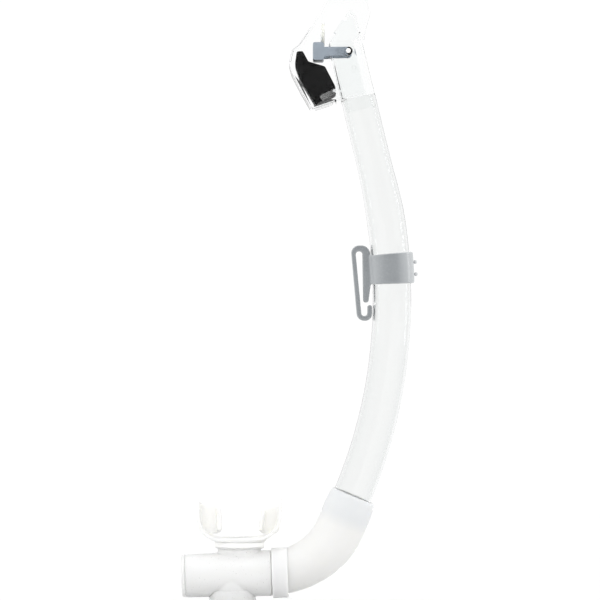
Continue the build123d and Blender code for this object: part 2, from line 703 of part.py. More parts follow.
def purge_seat():
    place = Plane((PURGE_X, 0, 0))
    seat = rod(place, SEAT_R, *SEAT_FACES) - rod(place, STEM_R + STEM_FIT, -FAR, 0)
    rim, hub = SEAT_OPENING
    openings = rod(place, rim, -FAR, 0) - rod(place, hub, -FAR, 0)
    for spoke in range(3):
        bar = Rotation(0, 0, 60 * spoke) * Box(FAR, SPOKE, FAR)
        openings = openings - Pos(PURGE_X, 0, 0) * bar
    return SWIVEL * (seat - openings)


def purge_disc():
    place = Plane((PURGE_X, 0, 0))
    top = SEAT_FACES[0] - DISC_GAP
    seat_top = SEAT_FACES[1]
    low, high = BULB_HEIGHT
    disc = rod(place, DISC_R, top - DISC_THICK, top)
    stem = rod(place, STEM_R, top - DISC_THICK, seat_top + STEM_HEIGHT)
    bulb = rod(place, BULB_R, seat_top + PURGE_TRAVEL + low, seat_top + high)
    return SWIVEL * joined([disc, stem, bulb])


def purge_cover():
    place = Plane((PURGE_X, 0, 0))
    wide, long, pitch = COVER_SLOT
    cover = rod(place, COVER_R, COVER_LOW, COVER_HIGH)
    cover = fillet(cover.edges().filter_by(GeomType.CIRCLE).sort_by(Axis.Z)[0], COVER_ROUND)
    cover = cover - rod(place, COVER_R - COVER_WALL, COVER_LOW + COVER_FLOOR, 0)
    for slot in range(-2, 3):
        opening = Box(wide, long * (1 - abs(slot) / 6), 4 * COVER_FLOOR)
        cover = cover - Pos(PURGE_X + pitch * slot, 0, COVER_LOW) * opening
    return SWIVEL * cover - chamber_outer(PLUG_GAP)


# ---------------------------------------------------------------- mouthpiece
FLANGE_POINTS = [(-119.4, -160.0), (-118.2, -193.0), (-59.2, -191.0), (-58.8, -163.0)]
FLANGE_ROUND = 17.0
TAB_POINTS = (
    [(-118.4, -188.0), (-118.4, -164.5), (-102.4, -166.6), (-101.6, -188.0)],
    [(-59.6, -188.0), (-59.6, -167.4), (-72.8, -169.4), (-75.0, -188.0)],
)
TAB_RADII = [4.0, 3.0, 3.0, 4.0]
RIB_POINTS = (
    [(-105.4, -186.0), (-105.8, -168.2), (-102.3, -168.6), (-101.7, -186.0)],
    [(-71.8, -186.0), (-69.8, -171.0), (-73.2, -171.4), (-75.0, -186.0)],
)
RIB_ROUND = 1.2


def flange_sheet():
    line = FilletPolyline(*FLANGE_POINTS, radius=FLANGE_ROUND)
    strip = Plane.XZ * offset(line, amount=FLANGE_THICK / 2, side=Side.BOTH)
    return slab(make_face(strip), FLANGE_HALF)


def side_view():
    """The flange narrows and rounds towards its two tips."""
    wide = FLANGE_HALF
    points = [(-wide, -205), (wide, -205), (wide, -176), (7.5, -162.8), (-7.5, -162.8),
              (-wide, -176)]
    wire = FilletPolyline(*points, radius=[1, 1, 12, 5, 5, 12], close=True)
    return extrude(Plane.YZ * make_face(wire), FAR, both=True)


def bite_tabs():
    tabs = [slab(outline(points, TAB_RADII), TAB_HALF) for points in TAB_POINTS]
    ribs = [slab(outline(points, RIB_ROUND), RIB_HALF) for points in RIB_POINTS]
    return tabs + ribs


def mouthpiece():
    """The lips' flange with its tabs, and the neck under it, that meet face to face."""
    sheet = flange_sheet() & side_view()
    neck = oval_rod(MOUTH_X, NECK_OVAL, NECK_LOW, FLANGE_Z)
    flare = loft([oval(MOUTH_X, z, grown(NECK_OVAL, by)) for z, by in FLARE])
    flare = flare & (Pos(MOUTH_X, 0, FLANGE_Z) * Box(FAR, 2 * FLANGE_HALF, FAR))
    body = joined([sheet, neck, flare] + bite_tabs())
    body = body - oval_rod(MOUTH_X, SPIGOT_OVAL, NECK_LOW - 1, SPIGOT_TOP + 0.05)
    body = body - oval_rod(MOUTH_X, grown(SPIGOT_OVAL, -SPIGOT_WALL), NECK_LOW, FLANGE_Z + 4)
    groove = oval_rod(MOUTH_X, grown(NECK_OVAL, 6), *TIE_Z) - oval_rod(
        MOUTH_X, grown(TIE_OVAL, -TIE_WALL), *TIE_Z)
    body = body - groove
    below = Pos(MOUTH_X, 0, NECK_TOP_Z - FAR / 2) * Box(FAR, FAR, FAR)
    return body - below, body & below


def mouthpiece_tie():
    band = oval_rod(MOUTH_X, TIE_OVAL, *TIE_Z) - oval_rod(
        MOUTH_X, grown(TIE_OVAL, -TIE_WALL), TIE_Z[0] - 1, TIE_Z[1] + 1)
    lock = Pos(MOUTH_X + LOCK_X, TIE_OVAL[1] + 1, sum(TIE_Z) / 2) * Box(*TIE_LOCK)
    return band + (lock - oval_rod(MOUTH_X, grown(TIE_OVAL, -TIE_WALL / 2), *TIE_Z))


# ---------------------------------------------------------------- write every piece
os.makedirs("parts", exist_ok=True)

for name, section in zip(("upper", "middle", "lower"), barrel_sections()):
    write(f"barrel_{name}", section)
write("valve_body", valve_body())
write("hood", hood())
write("hood_buttons", *hood_buttons())
write("float_body", float_body())
write("float_plug", float_plug())
write("float_pin", rod(cross_plane(FLOAT_PIVOT), FLOAT_PIN_R, -CHEEK[1], CHEEK[1]))
write("valve_lever", valve_lever())
write("lever_pins", *lever_pins())
write("pin_clips", *pin_clips())
write("flap_plate", flap_plate())
write("valve_flap", valve_flap())
write("strap_keeper", strap_keeper())
write("keeper_studs", *keeper_studs())
elbow = flex_elbow()
write("flex_elbow", elbow)
write("swivel_ring", swivel_ring(elbow))
write("swivel_insert", swivel_insert())
write("swivel_oring", swivel_oring())
write("mouth_chamber", mouth_chamber())
write("mouth_spigot", mouth_spigot())
write("chamber_cap", chamber_cap())
write("purge_seat", purge_seat())
write("purge_disc", purge_disc())
write("purge_cover", purge_cover())
flange, neck = mouthpiece()
write("mouthpiece", flange)
write("mouthpiece_neck", neck)
write("mouthpiece_tie", mouthpiece_tie())
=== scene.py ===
import bpy
import bmesh
import json
from math import atan2, cos, pi, radians, sin, tan
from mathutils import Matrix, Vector


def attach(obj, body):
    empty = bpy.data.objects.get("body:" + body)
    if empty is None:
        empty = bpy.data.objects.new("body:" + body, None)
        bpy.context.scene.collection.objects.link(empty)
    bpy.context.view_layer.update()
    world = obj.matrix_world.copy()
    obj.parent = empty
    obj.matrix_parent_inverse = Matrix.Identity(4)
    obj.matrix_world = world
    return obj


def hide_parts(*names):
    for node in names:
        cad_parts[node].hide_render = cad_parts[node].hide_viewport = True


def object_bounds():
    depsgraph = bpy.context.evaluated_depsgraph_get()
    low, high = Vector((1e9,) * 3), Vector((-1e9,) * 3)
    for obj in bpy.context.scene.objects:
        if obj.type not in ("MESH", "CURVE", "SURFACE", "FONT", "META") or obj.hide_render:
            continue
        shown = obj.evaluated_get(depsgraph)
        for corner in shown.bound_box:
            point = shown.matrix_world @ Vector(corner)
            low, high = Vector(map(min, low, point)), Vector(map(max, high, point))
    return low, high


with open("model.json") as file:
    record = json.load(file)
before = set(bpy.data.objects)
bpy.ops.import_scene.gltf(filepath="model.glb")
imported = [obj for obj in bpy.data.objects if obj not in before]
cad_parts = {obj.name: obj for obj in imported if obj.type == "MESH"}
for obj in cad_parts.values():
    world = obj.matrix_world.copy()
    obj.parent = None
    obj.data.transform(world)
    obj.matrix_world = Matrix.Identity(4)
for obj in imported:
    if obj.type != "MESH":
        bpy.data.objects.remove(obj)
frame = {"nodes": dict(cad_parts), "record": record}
cad_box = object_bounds()
nodes = frame["nodes"]
SLOT_OF = {part["node"]: part["material_slot"] for part in frame["record"]["subparts"]}
BODY_OF = {member: body for body, members in frame["record"]["behaviour"]["bodies"].items()
           for member in members}
MM = 0.001

# Stage, in metres: white surroundings, floor, lamps and camera
SKY_LIGHT = 1.43           # strength of the surroundings as a light
SKY_SEEN = 1.04            # and as they are seen
CAMERA_SIDE = (-0.95, -0.4, 0.03, 0.95)    # two heights along Y, and how bright each mirrors
FAR_SIDE = (0.4, 0.95, 1.0, 0.55)
FLOOR_RADIUS = 40.0
FLOOR_GAP = 0.003          # under the lowest point of the object
FLOOR_TONE = 0.66
FLOOR_FADE = (0.3, 1.1, 0.0, 1.0)          # where it turns into the white around it
LAMPS = (                  # name, place, size, power
    ("key", (-1.3, -1.5, 1.7), (1.5, 1.5), 9.0),
    ("fill", (1.8, -1.0, 0.5), (1.6, 1.6), 3.0),
    ("rim", (0.8, 1.8, 1.4), (1.4, 1.4), 6.0),
    ("strip", (2.0, 0.3, 0.0), (0.14, 1.6), 4.0),
)
CAMERA_DISTANCE = 2.3
CAMERA_X, CAMERA_Z = -0.0443, -0.0165
VIEW_WIDTH = 0.441         # at the object
SENSOR_WIDTH = 36.0

# Tube and swivel lines, as in the CAD, in millimetres and degrees
ARC_RADIUS = 374.1
ARC_CENTRE = Vector((-350.8, 0, -15.4))
TOP_TILT = radians(13.6)
LOW_TILT = radians(-22.7)
ARC_LENGTH = (TOP_TILT - LOW_TILT) * ARC_RADIUS
HEAD_JOINT = 61.2          # the tube's upper end, above the arc
TUBE_TAIL = 20.0           # its lower end, under the arc and in the elbow
TUBE_R = 14.15
TUBE_WALL = 1.6
TUBE_CORNER = 0.5
TUBE_RADII = [(-34.0, TUBE_R), (14.0, 12.8)]
SWIVEL_CENTRE = Vector((-59.0, 0, -216.9))
MOUTH_TILT = radians(2.0)
BEND_RADIUS = 56.0

# Elbow: places along its line from the arc's end; the socket takes the tube
ELBOW_LENGTH = 81.0
ELBOW_RADII = [(0, 16.4), (3.2, 17.3), (12.4, 17.9), (25, 17.8), (37.7, 17.6), (50.4, 17.2),
               (63.2, 16.7), (75.9, 16.3), (88.7, 16.0)]
ELBOW_SHIFT = [(0, 0.9), (37.7, 0.9), (50.4, 0.45), (63.2, 0.0), (90.0, 0.0)]
ELBOW_BORE = 12.6
ELBOW_WALL = 3.4
SOCKET_WALL = 1.8
SOCKET_PLAY = 0.08         # round the tube
SOCKET_STEP = 0.6          # between the tube's end and the step in the bore
ELBOW_CORNERS = (0.9, 0.8, 0.6, 0.3, 0.3, 0.5)
SLEEVE_SHADE_FADE = (-0.005, 0.004)              # in metres, from the tube's end: where the sleeve's painted shade fades in

# Swivel ring
RING_HALF = 5.9
RING_R = 18.4
RING_LIP_R = 15.3          # the opening on the chamber's side
RING_ELBOW_R = (16.6, 16.75)               # and on the elbow's side, inside and outside
RING_SEAT = (-4.1, -0.4, 17.0)             # room for the insert's flange: ends and radius
RING_WEB_END = 1.2         # end of the web between flange and elbow
RING_CORNERS = (0.3, 1.1, 1.3, 0.5, 0.3, 0.2, 0.2, 0.2, 0.2, 0.2)

# Ribbed ends of the float's plug
PLUG_TOP = (Vector((-29.8, 0, 131.9)), Vector((-20.3, 0, 137.6)))
PLUG_LOW = (Vector((-27.9, 0, 128.9)), Vector((-18.6, 0, 133.5)))
FLOAT_HALF = 14.2
RIB_COUNT = 7
RIB_STEPS = 10             # steps in each rib's curve
RIB_POWER = 3              # makes the crests narrow
RIB_LIFT = (0.02, 0.32)    # lowest and highest above the float's side
RIB_ROOT = 0.3             # how far they reach into the float

# Meshes
TUBE_SEGMENTS = 128        # round the tube and the elbow
ROUND_SEGMENTS = 96        # round other pieces
TUBE_STEP = 2.5            # length of the faces along the tube
ELBOW_STEP = 2.0
CORNER_STEPS = 5
CORNER_SHARE = 0.48        # most that one corner may take of a side
WELD_GAP = 1e-6
SHARP_ANGLE = radians(35)


# ---------------------------------------------------------------- shader nodes
def node(tree, kind, **values):
    """A new shader node with its properties set."""
    made = tree.nodes.new(kind)
    for key, value in values.items():
        setattr(made, key, value)
    return made


def feed(tree, socket, value):
    """Links another node's output to a socket, or sets the socket to a plain value."""
    if isinstance(value, bpy.types.NodeSocket):
        tree.links.new(value, socket)
    else:
        socket.default_value = value


def maths(tree, operation, a, b, **values):
    made = node(tree, "ShaderNodeMath", operation=operation, **values)
    feed(tree, made.inputs[0], a)
    feed(tree, made.inputs[1], b)
    return made.outputs[0]


def vector_maths(tree, operation, a):
    made = node(tree, "ShaderNodeVectorMath", operation=operation)
    feed(tree, made.inputs[0], a)
    return made


def map_range(tree, value, limits, **values):
    """A value taken from one range to another: limits are the ends of both, in that order."""
    made = node(tree, "ShaderNodeMapRange", **values)
    for key, limit in zip(("From Min", "From Max", "To Min", "To Max"), limits):
        made.inputs[key].default_value = limit
    feed(tree, made.inputs["Value"], value)
    return made.outputs["Result"]


def between(tree, factor, a, b):
    made = node(tree, "ShaderNodeMix", data_type="FLOAT")
    for key, value in (("Factor", factor), ("A", a), ("B", b)):
        feed(tree, made.inputs[key], value)
    return made.outputs["Result"]


# ---------------------------------------------------------------- stage
def link(obj):
    bpy.context.scene.collection.objects.link(obj)
    return obj


def mesh_from(name, bm):
    """The mesh of a bmesh, which is used up."""
    mesh = bpy.data.meshes.new(name)
    bm.to_mesh(mesh)
    bm.free()
    return mesh


def make_world():
    """White studio; what mirrors the front and the back is dimmer, as beside a camera.

    The pieces are lit by SKY_LIGHT; SKY_SEEN is what the camera sees past and through them.
    """
    world = bpy.data.worlds.new("studio")
    bpy.context.scene.world = world
    world.use_nodes = True
    tree = world.node_tree
    tree.nodes.clear()
    path = node(tree, "ShaderNodeLightPath").outputs
    coords = node(tree, "ShaderNodeTexCoord")
    split = node(tree, "ShaderNodeSeparateXYZ")
    tree.links.new(coords.outputs["Generated"], split.inputs[0])
    sides = [map_range(tree, split.outputs["Y"], limits, interpolation_type="SMOOTHSTEP")
             for limits in (CAMERA_SIDE, FAR_SIDE)]
    dim = maths(tree, "MULTIPLY", *sides)
    seen = maths(tree, "MAXIMUM", path["Is Camera Ray"], path["Is Transmission Ray"])
    unlit = maths(tree, "LESS_THAN", path["Diffuse Depth"], 0.5)
    direct = between(tree, maths(tree, "MULTIPLY", seen, unlit), SKY_LIGHT, SKY_SEEN)
    mirrored = maths(tree, "SUBTRACT", path["Is Glossy Ray"], path["Is Transmission Ray"],
                     use_clamp=True)
    back = node(tree, "ShaderNodeBackground")
    back.inputs["Color"].default_value = (1.0, 1.0, 1.0, 1.0)
    feed(tree, back.inputs["Strength"], between(tree, mirrored, direct, dim))
    out = node(tree, "ShaderNodeOutputWorld")
    tree.links.new(back.outputs[0], out.inputs[0])


def make_floor():
    bm = bmesh.new()
    bmesh.ops.create_circle(bm, cap_ends=True, segments=ROUND_SEGMENTS, radius=FLOOR_RADIUS)
    mesh = mesh_from("floor", bm)
    floor = link(bpy.data.objects.new("floor", mesh))
    floor.location = (0, 0, cad_box[0].z - FLOOR_GAP)
    mat = bpy.data.materials.new("floor")
    mat.use_nodes = True
    tree = mat.node_tree
    tree.nodes.clear()
    coords = node(tree, "ShaderNodeTexCoord")
    distance = vector_maths(tree, "LENGTH", coords.outputs["Object"])
    far = map_range(tree, distance.outputs["Value"], FLOOR_FADE, interpolation_type="SMOOTHSTEP")
    near = node(tree, "ShaderNodeBsdfDiffuse")
    near.inputs["Color"].default_value = (FLOOR_TONE, FLOOR_TONE, FLOOR_TONE, 1)
    glow = node(tree, "ShaderNodeEmission")
    glow.inputs["Strength"].default_value = SKY_SEEN
    mix = node(tree, "ShaderNodeMixShader")
    for place, value in enumerate((far, near.outputs[0], glow.outputs[0])):
        feed(tree, mix.inputs[place], value)
    out = node(tree, "ShaderNodeOutputMaterial")
    tree.links.new(mix.outputs[0], out.inputs["Surface"])
    mesh.materials.append(mat)


def make_lamp(name, place, size, power):
    """A rectangular lamp that points at the origin."""
    lamp = bpy.data.lights.new(name, "AREA")
    lamp.shape = "RECTANGLE"
    lamp.size, lamp.size_y = size
    lamp.energy = power
    holder = link(bpy.data.objects.new(name, lamp))
    holder.location = place
    holder.rotation_mode = "QUATERNION"
    holder.rotation_quaternion = (-Vector(place)).to_track_quat("-Z", "Y")


def make_camera():
    """Level with the object and square to its side, from far off."""
    data = bpy.data.cameras.new("camera")
    data.sensor_width = SENSOR_WIDTH
    data.lens = SENSOR_WIDTH * CAMERA_DISTANCE / VIEW_WIDTH
    data.clip_end = 100
    camera = link(bpy.data.objects.new("camera", data))
    camera.location = (CAMERA_X, -CAMERA_DISTANCE, CAMERA_Z)
    camera.rotation_euler = (radians(90), 0, 0)
    bpy.context.scene.camera = camera


def make_stage():
    scene = bpy.context.scene
    scene.view_settings.view_transform = "Standard"
    scene.cycles.max_bounces = 40
    scene.cycles.transmission_bounces = 40
    scene.cycles.transparent_max_bounces = 32
    scene.cycles.glossy_bounces = 8
    scene.cycles.blur_glossy = 0.5
    make_world()
    make_floor()
    for lamp in LAMPS:
        make_lamp(*lamp)
    make_camera()


# ---------------------------------------------------------------- lines of the CAD
def tube_frame(along):
    """Point, outward and upward directions of the tube's line."""
    on_arc = min(max(along, -ARC_LENGTH), 0)
    angle = TOP_TILT + on_arc / ARC_RADIUS
    outward = Vector((cos(angle), 0, sin(angle)))
    up = Vector((-sin(angle), 0, cos(angle)))
    return ARC_CENTRE + outward * ARC_RADIUS + up * (along - on_arc), outward, up


def swivel_frame(along):
    """The same along the swivel's line."""
    direction = Vector((cos(MOUTH_TILT), 0, sin(MOUTH_TILT)))
    outward = Vector((-sin(MOUTH_TILT), 0, cos(MOUTH_TILT)))
    return SWIVEL_CENTRE + direction * along, outward, direction


def elbow_frame(along):
    """The same along the elbow: straight down from the arc's end, then one bend."""
    start, outward, up = tube_frame(-ARC_LENGTH)
    inward = -outward
    down = -up
    axis = swivel_frame(0)[2]
    gap = SWIVEL_CENTRE - start
    run = (gap.x * axis.z - gap.z * axis.x) / (down.x * axis.z - down.z * axis.x)
    turn = atan2(-down.z, -down.x) - MOUTH_TILT
    straight = run - BEND_RADIUS * tan(turn / 2)
    if along <= straight:
        return start + down * along, inward, down
    angle = min((along - straight) / BEND_RADIUS, turn)
    centre = start + down * straight + inward * BEND_RADIUS
    back = -inward * cos(angle) + down * sin(angle)
    ahead = down * cos(angle) + inward * sin(angle)
    rest = along - straight - angle * BEND_RADIUS
    return centre + back * BEND_RADIUS + ahead * rest, -back, ahead


# ---------------------------------------------------------------- materials
def scaled(color, share):
    return tuple(c * share for c in color)


MATERIALS = {}             # by name


class Shader:
    """A new material and the few node patterns that the finishes share."""

    def __init__(self, name):
        material = bpy.data.materials.new(name)
        MATERIALS[name] = material
        material.use_nodes = True
        self.tree = material.node_tree
        self.bsdf = self.tree.nodes["Principled BSDF"]
        self.coords = node(self.tree, "ShaderNodeTexCoord").outputs["Object"]
        self.normal = None

    def link(self, a, b):
        self.tree.links.new(a, b)

    def noise(self, scale, detail, stretch=None):
        source = self.coords
        if stretch:
            mapping = node(self.tree, "ShaderNodeMapping")
            mapping.inputs["Scale"].default_value = stretch
            self.link(source, mapping.inputs["Vector"])
            source = mapping.outputs[0]
        made = node(self.tree, "ShaderNodeTexNoise")
        for key, value in (("Scale", scale), ("Detail", detail), ("Roughness", 0.55)):
            made.inputs[key].default_value = value
        self.link(source, made.inputs["Vector"])
        return made.outputs["Fac"]

    def ramp(self, factor, low, high):
        """A noise turned into tones between two colours."""
        made = node(self.tree, "ShaderNodeValToRGB")
        for element, place, color in zip(made.color_ramp.elements, (0.35, 0.65), (low, high)):
            element.position = place
            element.color = (*color, 1)
        self.link(factor, made.inputs["Fac"])
        return made.outputs["Color"]

    def span(self, factor, low, high, start=0.3, end=0.7):
        return map_range(self.tree, factor, (start, end, low, high))

    def mix(self, factor, a, b):
        """A colour between two; the numbers are the colour sockets of the node."""
        made = node(self.tree, "ShaderNodeMix", data_type="RGBA")
        self.link(factor, made.inputs[0])
        for place, value in ((6, a), (7, b)):
            feed(self.tree, made.inputs[place], (*value, 1) if isinstance(value, tuple) else value)
        return made.outputs[2]

    def facing(self, blend):
        made = node(self.tree, "ShaderNodeLayerWeight")
        made.inputs["Blend"].default_value = blend
        return made.outputs["Facing"]

    def bump(self, height, distance, strength):
        """Relief over whatever relief the material has already."""
        made = node(self.tree, "ShaderNodeBump")
        made.inputs["Strength"].default_value = strength
        made.inputs["Distance"].default_value = distance
        self.link(height, made.inputs["Height"])
        if self.normal:
            self.link(self.normal, made.inputs["Normal"])
        self.normal = made.outputs["Normal"]
        self.link(self.normal, self.bsdf.inputs["Normal"])

    def set(self, **values):
        """Sets or links inputs of the main shader; their names have _ for each space."""
        for key, value in values.items():
            feed(self.tree, self.bsdf.inputs[key.replace("_", " ")], value)


def clear_plastic(name, body, rim, rough, index):
    """Clear moulding: faint flow lines, fine scuffs, and painted shade: a darker, greyer colour
    where its faces turn away at the edges.
    """
    s = Shader(name)
    flow = s.noise(9.0, 3.0, (3.0, 3.0, 1.0))
    scuff = s.noise(420.0, 6.0)
    tone = s.ramp(flow, scaled(body, 0.994), body)
    # painted shade: the base colour turns to the darker rim colour where the surface faces away
    s.set(Base_Color=s.mix(s.facing(0.3), tone, rim))
    s.set(Roughness=s.span(scuff, rough * 0.6, rough * 1.6))
    s.set(Transmission_Weight=1.0, IOR=index, Specular_IOR_Level=0.5)
    s.bump(flow, 0.0004, 0.25)
    s.bump(scuff, 0.00002, 0.3)


def frosted_plastic(name, color, rough, clearness=0.35):
    """Milky moulding: light spreads under a finely etched skin."""
    s = Shader(name)
    cloud = s.noise(55.0, 4.0)
    grain = s.noise(900.0, 3.0)
    tone = s.ramp(cloud, scaled(color, 0.985), color)
    s.set(Base_Color=tone, Roughness=s.span(grain, rough * 0.85, rough * 1.15))
    s.set(Transmission_Weight=clearness, IOR=1.4)
    s.set(Subsurface_Weight=0.3, Subsurface_Radius=(0.006, 0.006, 0.0055), Subsurface_Scale=1.0)
    s.bump(grain, 0.00003, 0.4)
    s.bump(cloud, 0.0002, 0.15)


def silicone(name, color, clearness=0.22, sleeve=None):
    """Soft translucent silicone: a satin skin with fine matt texture and cloudy depth.

    A sleeve gets painted shade, greyer over what it is stretched over: (edge, direction, tint).
    """
    s = Shader(name)
    cloud = s.noise(38.0, 5.0)
    skin = s.noise(1400.0, 2.0)
    tone = s.ramp(cloud, tuple(c * k for c, k in zip(color, (0.99, 0.988, 0.978))), color)
    if sleeve:
        edge, direction, tint = sleeve
        height = vector_maths(s.tree, "DOT_PRODUCT", s.coords)
        height.inputs[1].default_value = direction
        start, end = (edge.dot(direction) * MM + fade for fade in SLEEVE_SHADE_FADE)
        # painted shade: a mask that greys the silicone over the tube's end
        over = s.span(height.outputs["Value"], 0.0, 1.0, start, end)
        tone = s.mix(over, tone, tint)
    s.set(Base_Color=tone, Roughness=s.span(skin, 0.42, 0.58))
    s.set(Transmission_Weight=clearness, IOR=1.41)
    s.set(Subsurface_Weight=0.55, Subsurface_Radius=(0.009, 0.0088, 0.008), Subsurface_Scale=1.0)
    s.set(Sheen_Weight=0.05, Sheen_Roughness=0.5, Specular_IOR_Level=0.3)
    s.bump(skin, 0.00003, 0.5)
    s.bump(cloud, 0.0003, 0.12)


def moulded(name, color, rough, gloss=0.4, painted_sheen=None):
    """Opaque moulding: fine spark-eroded grain, slight tone drift, a painted highlight on its
    convex edges and, where given, a painted sheen where it turns away.
    """
    s = Shader(name)
    drift = s.noise(30.0, 4.0)
    fine = s.noise(1800.0, 2.0)
    tone = s.ramp(drift, scaled(color, 0.94), scaled(color, 1.06))
    # painted highlight: lighter colour on convex edges, picked out by pointiness
    edge = node(s.tree, "ShaderNodeNewGeometry").outputs["Pointiness"]
    edge_highlight_mask = s.span(edge, 0.0, 0.35, 0.52, 0.6)
    edge_highlight_tone = tuple(min(1.0, c * 1.25 + 0.01) for c in color)
    tone = s.mix(edge_highlight_mask, tone, edge_highlight_tone)
    # painted sheen: lighter colour where the surface turns away, as a reflection of the bright
    # surroundings
    if painted_sheen:
        tone = s.mix(s.facing(0.4), tone, painted_sheen)
    s.set(Base_Color=tone)
    s.set(Roughness=s.span(fine, rough * 0.88, rough * 1.12), Specular_IOR_Level=gloss)
    s.bump(fine, 0.00004, 0.5)


def steel(name):
    """Drawn steel, brushed along the pin."""
    s = Shader(name)
    brush = s.noise(240.0, 3.0, (1.0, 12.0, 1.0))
    s.set(Base_Color=s.ramp(brush, (0.6, 0.61, 0.62), (0.76, 0.77, 0.78)))
    s.set(Metallic=1.0, Roughness=s.span(brush, 0.22, 0.38))
    s.bump(brush, 0.00002, 0.4)


def rubber(name):
    """Dusty black rubber."""
    s = Shader(name)
    dust = s.noise(300.0, 5.0)
    s.set(Base_Color=s.ramp(dust, (0.012, 0.012, 0.013), (0.03, 0.03, 0.031)))
    s.set(Roughness=s.span(dust, 0.5, 0.7))
    s.bump(dust, 0.00003, 0.4)


def sleeve_shade_silicone(name):
    """The elbow's silicone, with painted shade where the tube's end is in it."""
    edge, _, up = tube_frame(-ARC_LENGTH - TUBE_TAIL)
    silicone(name, (0.88, 0.878, 0.862), sleeve=(edge, up, (0.8, 0.815, 0.82)))


# The record's material slots and a few variants of them
clear_plastic("clear_tube", (0.943, 0.948, 0.945), (0.8, 0.815, 0.815), 0.04, 1.33)
clear_plastic("clear_moulding", (0.984, 0.987, 0.986), (0.965, 0.969, 0.968), 0.05, 1.13)
clear_plastic("head_moulding", (0.983, 0.988, 0.987), (0.965, 0.97, 0.968), 0.05, 1.1)
frosted_plastic("frosted_moulding", (0.978, 0.98, 0.972), 0.32)
frosted_plastic("plate_moulding", (0.985, 0.988, 0.96), 0.3, 0.1)
silicone("soft_silicone", (0.9, 0.898, 0.882))
# painted light: a lighter, yellower copy of the soft silicone, to lift the flap out of the shade
# inside the hood
silicone("lit_flap_silicone", (0.98, 0.975, 0.85), 0.08)
# painted light: a lighter copy of the soft silicone, to lift the swivel ring out of the shade near
# the floor
silicone("lit_ring_silicone", (0.98, 0.978, 0.965), 0.12)
sleeve_shade_silicone("sleeve_shade_silicone")
moulded("grey_plastic", (0.225, 0.24, 0.252), 0.26, gloss=1.0, painted_sheen=(0.6, 0.62, 0.63))
moulded("stud_plastic", (0.52, 0.53, 0.54), 0.35, painted_sheen=(0.7, 0.71, 0.72))
moulded("blue_grey_plastic", (0.3, 0.345, 0.4), 0.4)
moulded("black_plastic", (0.0105, 0.0105, 0.0107), 0.48, gloss=0.05)
moulded("dark_plastic", (0.17, 0.17, 0.17), 0.45, gloss=0.25)
moulded("white_plastic", (0.9, 0.9, 0.88), 0.4)
rubber("black_rubber")
steel("steel")

# Pieces and CAD nodes that look a little different from the others of their slot
VARIANTS = {
    "valve_body": "head_moulding",
    "flap_plate": "plate_moulding",
    "keeper_studs": "stud_plastic",
    "flap_disc": "lit_flap_silicone",
    "swivel_collar": "lit_ring_silicone",
    "soft_elbow": "sleeve_shade_silicone",
}


def coat(name, mesh, slot):
    mesh.materials.clear()
    mesh.materials.append(MATERIALS[VARIANTS.get(name, slot)])


# ---------------------------------------------------------------- mesh helpers
def finished(name, mesh, source, replaced):
    """The piece: it rides with a CAD node, has that node's slot and may replace CAD nodes."""
    for polygon in mesh.polygons:
        polygon.use_smooth = True
    obj = link(bpy.data.objects.new(name, mesh))
    body, slot = BODY_OF[source], SLOT_OF[source]
    coat(name, mesh, slot)
    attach(obj, body)
    if replaced:
        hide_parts(*replaced)


def turned(name, line, profile, replaced, segments):
    """A closed profile turned about a straight or bent line.

    Its points are (along, radius), or (along, radius, shift) where a ring is off the line.
    """
    bm = bmesh.new()
    rings = []
    for along, radius, *shift in profile:
        point, outward, _ = line(along)
        point = point + outward * sum(shift)
        ring = []
        for step in range(segments):
            angle = 2 * pi * step / segments
            place = point + outward * (radius * cos(angle)) + Vector((0, radius * sin(angle), 0))
            ring.append(bm.verts.new(place * MM))
        rings.append(ring)
    for a, b in zip(rings, rings[1:] + rings[:1]):
        for j in range(segments):
            k = (j + 1) % segments
            bm.faces.new((a[j], a[k], b[k], b[j]))
    bmesh.ops.recalc_face_normals(bm, faces=bm.faces)
    finished(name, mesh_from(name, bm), replaced[0], replaced)


def rounded(points, radii):
    """A closed profile with its corners rounded, each by its own radius."""
    out = []
    for i, (corner, radius) in enumerate(zip(points, radii)):
        here = Vector(corner)
        before = Vector(points[i - 1]) - here
        after = Vector(points[(i + 1) % len(points)]) - here
        reach = min(radius, before.length * CORNER_SHARE, after.length * CORNER_SHARE)
        a = here + before.normalized() * reach
        b = here + after.normalized() * reach
        for step in range(CORNER_STEPS + 1):
            t = step / CORNER_STEPS
            out.append(tuple(a * (1 - t) ** 2 + here * (2 * t * (1 - t)) + b * t * t))
    return out


def spread(profile, step):
    """Extra points along a profile's long runs, so that it can follow a bent line."""
    out = []
    for i, point in enumerate(profile):
        here, there = Vector(point), Vector(profile[(i + 1) % len(profile)])
        count = max(1, int((there - here).length / step))
        out += [tuple(here.lerp(there, k / count)) for k in range(count)]
    return out


def eased(table, at):
    """Smooth value between the rows of a table of (place, value)."""
    for (a, low), (b, high) in zip(table, table[1:]):
        if at <= b:
            t = max(0.0, (at - a) / (b - a))
            return low + (high - low) * t * t * (3 - 2 * t)
    return table[-1][1]


def applied(obj, kind, **values):
    """Adds a modifier and makes the object's mesh its result."""
    modifier = obj.modifiers.new(kind.lower(), kind)
    for key, value in values.items():
        setattr(modifier, key, value)
    depsgraph = bpy.context.evaluated_depsgraph_get()
    mesh = bpy.data.meshes.new_from_object(obj.evaluated_get(depsgraph))
    obj.modifiers.clear()
    old = obj.data
    obj.data = mesh
    bpy.data.meshes.remove(old)


